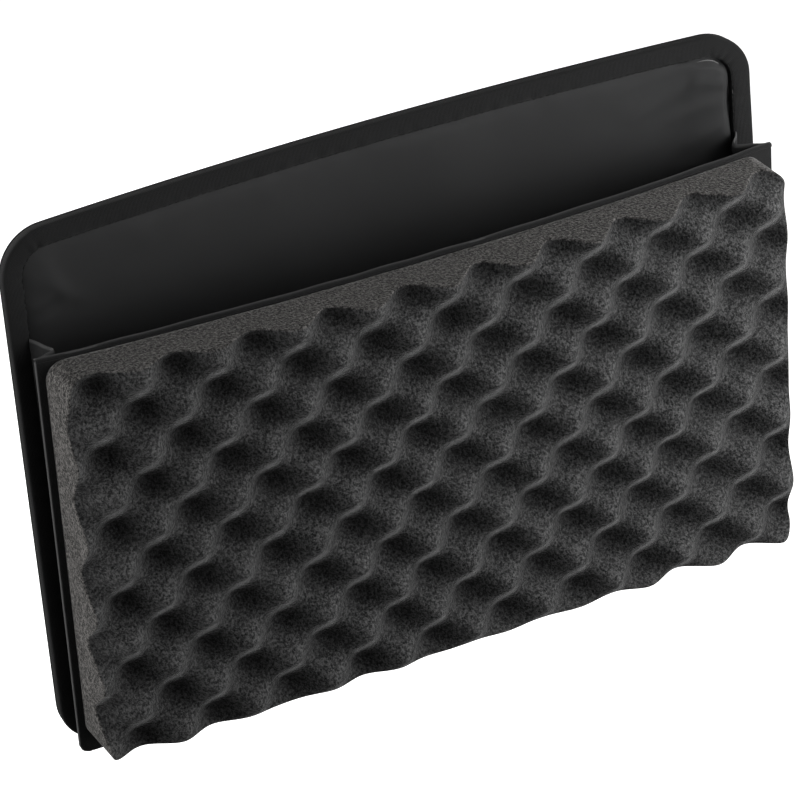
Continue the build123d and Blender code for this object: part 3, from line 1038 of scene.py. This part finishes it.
# %% Side gussets
def gusset(side, name, fold_mouth, sag, seed):
    """A pleated side wall, on the right for side 1 and on the left for -1."""
    x, y, z, front_y = gusset_middle(fold_mouth, sag)
    plan = np.stack([x, y], -1)
    normal = left_normals(plan)
    width = path_length(plan[:, -1])
    flat_a = width[:, None] + 0 * z
    slack = 4 * across_strip * (1 - across_strip)
    wrinkle = 0.35 * MM * ripples(flat_a, z, 14 * MM, 45 * MM, seed) * slack
    top_wrinkle = 0.35 * MM * ripples(flat_a, z, 7 * MM, 16 * MM, seed + 1) * slack
    wrinkle += top_wrinkle * smoothstep(up_strip, 0.82, 0.97)
    hem = smoothstep(z, gusset_mouth - GUSSET_HEM - 0.6 * MM, gusset_mouth - GUSSET_HEM)
    top = np.sqrt(1 - smoothstep(up_strip, 0.994, 1.0) ** 2 * 0.999)
    half_thick = (GUSSET_CLOTH / 2) * (1 + 0.9 * hem) * top
    faces = [plan + normal * (wrinkle + way * half_thick)[..., None] for way in (1, -1)]
    inner, outer = (joined(side * face[..., 0], face[..., 1], z) for face in faces)
    # Painted highlight: a paler tone along the strip's top edge.
    painted_highlight = smoothstep(up_strip, 0.991, 0.996) + 0 * z
    strip = closed_sheet(inner, outer, np.stack([flat_a, z], -1))
    piece = add_piece(name, strip, gusset_cloth, marks={"painted_highlight": sheet_marks(painted_highlight, painted_highlight)})
    front_y + 0.3 * MM
    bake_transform(piece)
    print(f"{name}: {width[-1] / MM:.1f} mm wide at the mouth")
    return piece


left_gusset = gusset(-1, "left_gusset_cloth", fold_mouth=8.5 * MM, sag=2.6 * MM, seed=41)
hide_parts("left_gusset")
right_gusset = gusset(1, "right_gusset_cloth", fold_mouth=7.5 * MM, sag=1.2 * MM, seed=51)
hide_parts("right_gusset")

# %% Pocket floor
FLOOR_CLOTH, FLOOR_SAG = 0.5 * MM, 1.3 * MM
floor_low, floor_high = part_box("foot_gusset")
floor_half = floor_high.x
floor_x = np.linspace(-1, 1, 180)[:, None] * floor_half
floor_a = np.linspace(0, 1, 16)[None, :]
floor_rear = on_back(floor_x, 0, seam_layer)[..., 1]
floor_front = board_y(floor_x, floor_low.z) - face_rise - front_rear_layer + 0.4 * MM
floor_slack = 4 * floor_a * (1 - floor_a)
floor_swell = ripples(floor_x, 0, 15 * MM, 60 * MM, seed=61)
floor_z = floor_low.z + 0.3 * MM - FLOOR_SAG * floor_slack + 0.25 * MM * floor_slack * floor_swell
floor_y = floor_rear + (floor_front - floor_rear) * floor_a
floor_top, floor_under = (joined(floor_x, floor_y, floor_z + way * FLOOR_CLOTH / 2) for way in (1, -1))
floor_sheet = closed_sheet(floor_top, floor_under, joined(floor_x, floor_y))
foot_gusset = add_piece("foot_gusset_cloth", floor_sheet, gusset_cloth)
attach(foot_gusset, "back_panel")
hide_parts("foot_gusset")
floor_width = abs(floor_front - floor_rear).mean()
print(f"pocket floor: {2 * floor_half / MM:.0f} by {floor_width / MM:.1f} mm")

# %% [markdown]
# Hook tapes
#
# Three strips of hook tape hold the panel in a carpeted lid. A hook tape is a woven ribbon with
# firm selvedges and a field of tiny bent hooks. Each hook is a four-sided tube along a short
# hooked path, and numpy copies it over the ribbon in staggered rows.

# %% Hooks
HOOK_PITCH, HOOK_RADIUS, HOOK_SIDES = 2.0 * MM, 0.13 * MM, 4
hook_path = smooth_path([(0.0, 0.0), (0.0, 0.5), (0.12, 0.85), (0.45, 0.95), (0.62, 0.62)], steps=1)


def hooks(places, layer):
    """One surface of hooks at (x, z) places, standing on the rear face at `layer`."""
    centre = on_back(places[:, 0], places[:, 1], layer)
    up = back_normal(places[:, 0], -1)
    lean = np.where(np.arange(len(places)) % 2 == 0, 1.0, -1.0)
    along = joined(0.0, 0.0, lean)
    angle = np.linspace(0, 2 * math.pi, HOOK_SIDES + 1)[None, :]
    taper = HOOK_RADIUS * np.append(np.linspace(1.15, 0.75, len(hook_path) - 1), 0.0)[:, None]
    local = joined(hook_path[:, :1] + taper * np.cos(angle), taper * np.sin(angle), hook_path[:, 1:])
    return copies(local, centre, np.stack([along, np.cross(up, along), up], 1))


print(f"hooks: {hook_path[:, 1].max() / MM:.2f} mm high, {HOOK_PITCH / MM:.1f} mm apart")

# %% Hook tapes
SELVEDGE, SELVEDGE_EDGE = 3.0 * MM, 1.0 * MM
RIBBON_LAYER, RIBBON_REAR = -0.55 * MM, -0.03 * MM


def hook_tape(node):
    """The ribbon of one tape with its hooks, in the place of its CAD node."""
    low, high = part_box(node)
    half = np.array([high.x - low.x, high.z - low.z]) / 2
    middle = np.array([high.x + low.x, high.z + low.z]) / 2
    x, z, edge = rounded_grid(half, (0.6 * MM, 0.6 * MM), 1.6 * MM, 0.4 * MM)
    raised = RIBBON_LAYER - 0.18 * MM * np.exp(-(((edge - SELVEDGE) / (0.5 * MM)) ** 2))
    raised -= 0.03 * MM * np.cos(edge * 2 * math.pi / MM) * (edge < SELVEDGE)
    ribbon = layered_sheet(on_back, x, z, raised, RIBBON_REAR, middle)
    field = half - SELVEDGE - SELVEDGE_EDGE
    columns = np.arange(-field[0], field[0], HOOK_PITCH)
    rows = np.arange(-field[1], field[1], HOOK_PITCH)
    hook_x, hook_z = np.meshgrid(columns, rows, indexing="ij")
    hook_z = hook_z + HOOK_PITCH / 2 * (np.arange(len(columns)) % 2)[:, None]
    places = np.stack([hook_x.ravel(), hook_z.ravel()], -1) + middle
    tape = add_piece(f"{node}_hooks", [*ribbon, hooks(places, -0.5 * MM)], hook_nylon)
    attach(tape, "back_panel")
    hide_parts(node)
    centre, outward, _ = walk_round(half - 1.6 * MM, radius=MM, step=MM)
    line = centre + outward * MM + middle
    path = on_back(line[:, 0], line[:, 1], RIBBON_LAYER - 0.07 * MM)
    return stitch_row(path, back_normal(line[:, 0], -1))


tape_rows = [hook_tape(node) for node in ("left_tape", "middle_tape", "right_tape")]
tape_stitching = add_piece("tape_stitching", tape_rows, thread)
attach(tape_stitching, "back_panel")

# %% [markdown]
# What stays from the CAD model
#
# The boards, the felt, the foam strip and the adhesive film are the right shape already, and
# lie inside the cloth. They keep their meshes and only take their finishes.

# %% Finishes for the CAD nodes
KEPT = {
    "back_board": stiff_board,
    "front_board": stiff_board,
    "back_wadding": felt,
    "rim_filler": foam_strip,
    "foam_adhesive": adhesive,
}
for node, material in KEPT.items():
    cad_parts[node].data.materials.clear()
    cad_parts[node].data.materials.append(material)
print("kept CAD nodes:", sorted(KEPT))

# %% [markdown]
# The floor
#
# In use the panel hangs by its tapes, so here it hangs in the air over a plain pale floor, too
# high for a hard shadow. The floor fills the view but is hidden from diffuse and glossy rays:
# the undersides of the foam's bumps stay dark, as they do over a dark table.


# %% The floor's finish
FLOOR_GLOW = 0.85


def floor_finish():
    """Matt white with a barely visible mottle and a slight glow."""
    matt = {"Roughness": 0.9, "Specular IOR Level": 0.1}
    glow = {"Emission Color": grey(1.0), "Emission Strength": FLOOR_GLOW}
    finish = Finish("studio_floor", {**matt, **glow})
    place = finish.node("TexCoord", output=3)
    finish.paint("Base Color", finish.mix(finish.noise(place, 0.4), grey(0.86), grey(0.88)))
    return finish.material


studio_white = floor_finish()
print("floor finish:", studio_white.name)

# %% Studio floor
FLOOR_SIZE, FLOOR_DROP = 12.0, 0.30
floor_level = cad_low.z - FLOOR_DROP
corners = np.array([[-1, -1], [1, -1], [1, 1], [-1, 1]]) * FLOOR_SIZE / 2
floor_mesh = bpy.data.meshes.new("studio_floor")
floor_mesh.from_pydata([(x, y, floor_level) for x, y in corners.tolist()], [], [(0, 1, 2, 3)])
floor_mesh.materials.append(studio_white)
studio_floor = bpy.data.objects.new("studio_floor", floor_mesh)
studio_floor.visible_diffuse = studio_floor.visible_glossy = False
bpy.context.scene.collection.objects.link(studio_floor)
print(f"floor {FLOOR_DROP / MM:.0f} mm below the pocket")
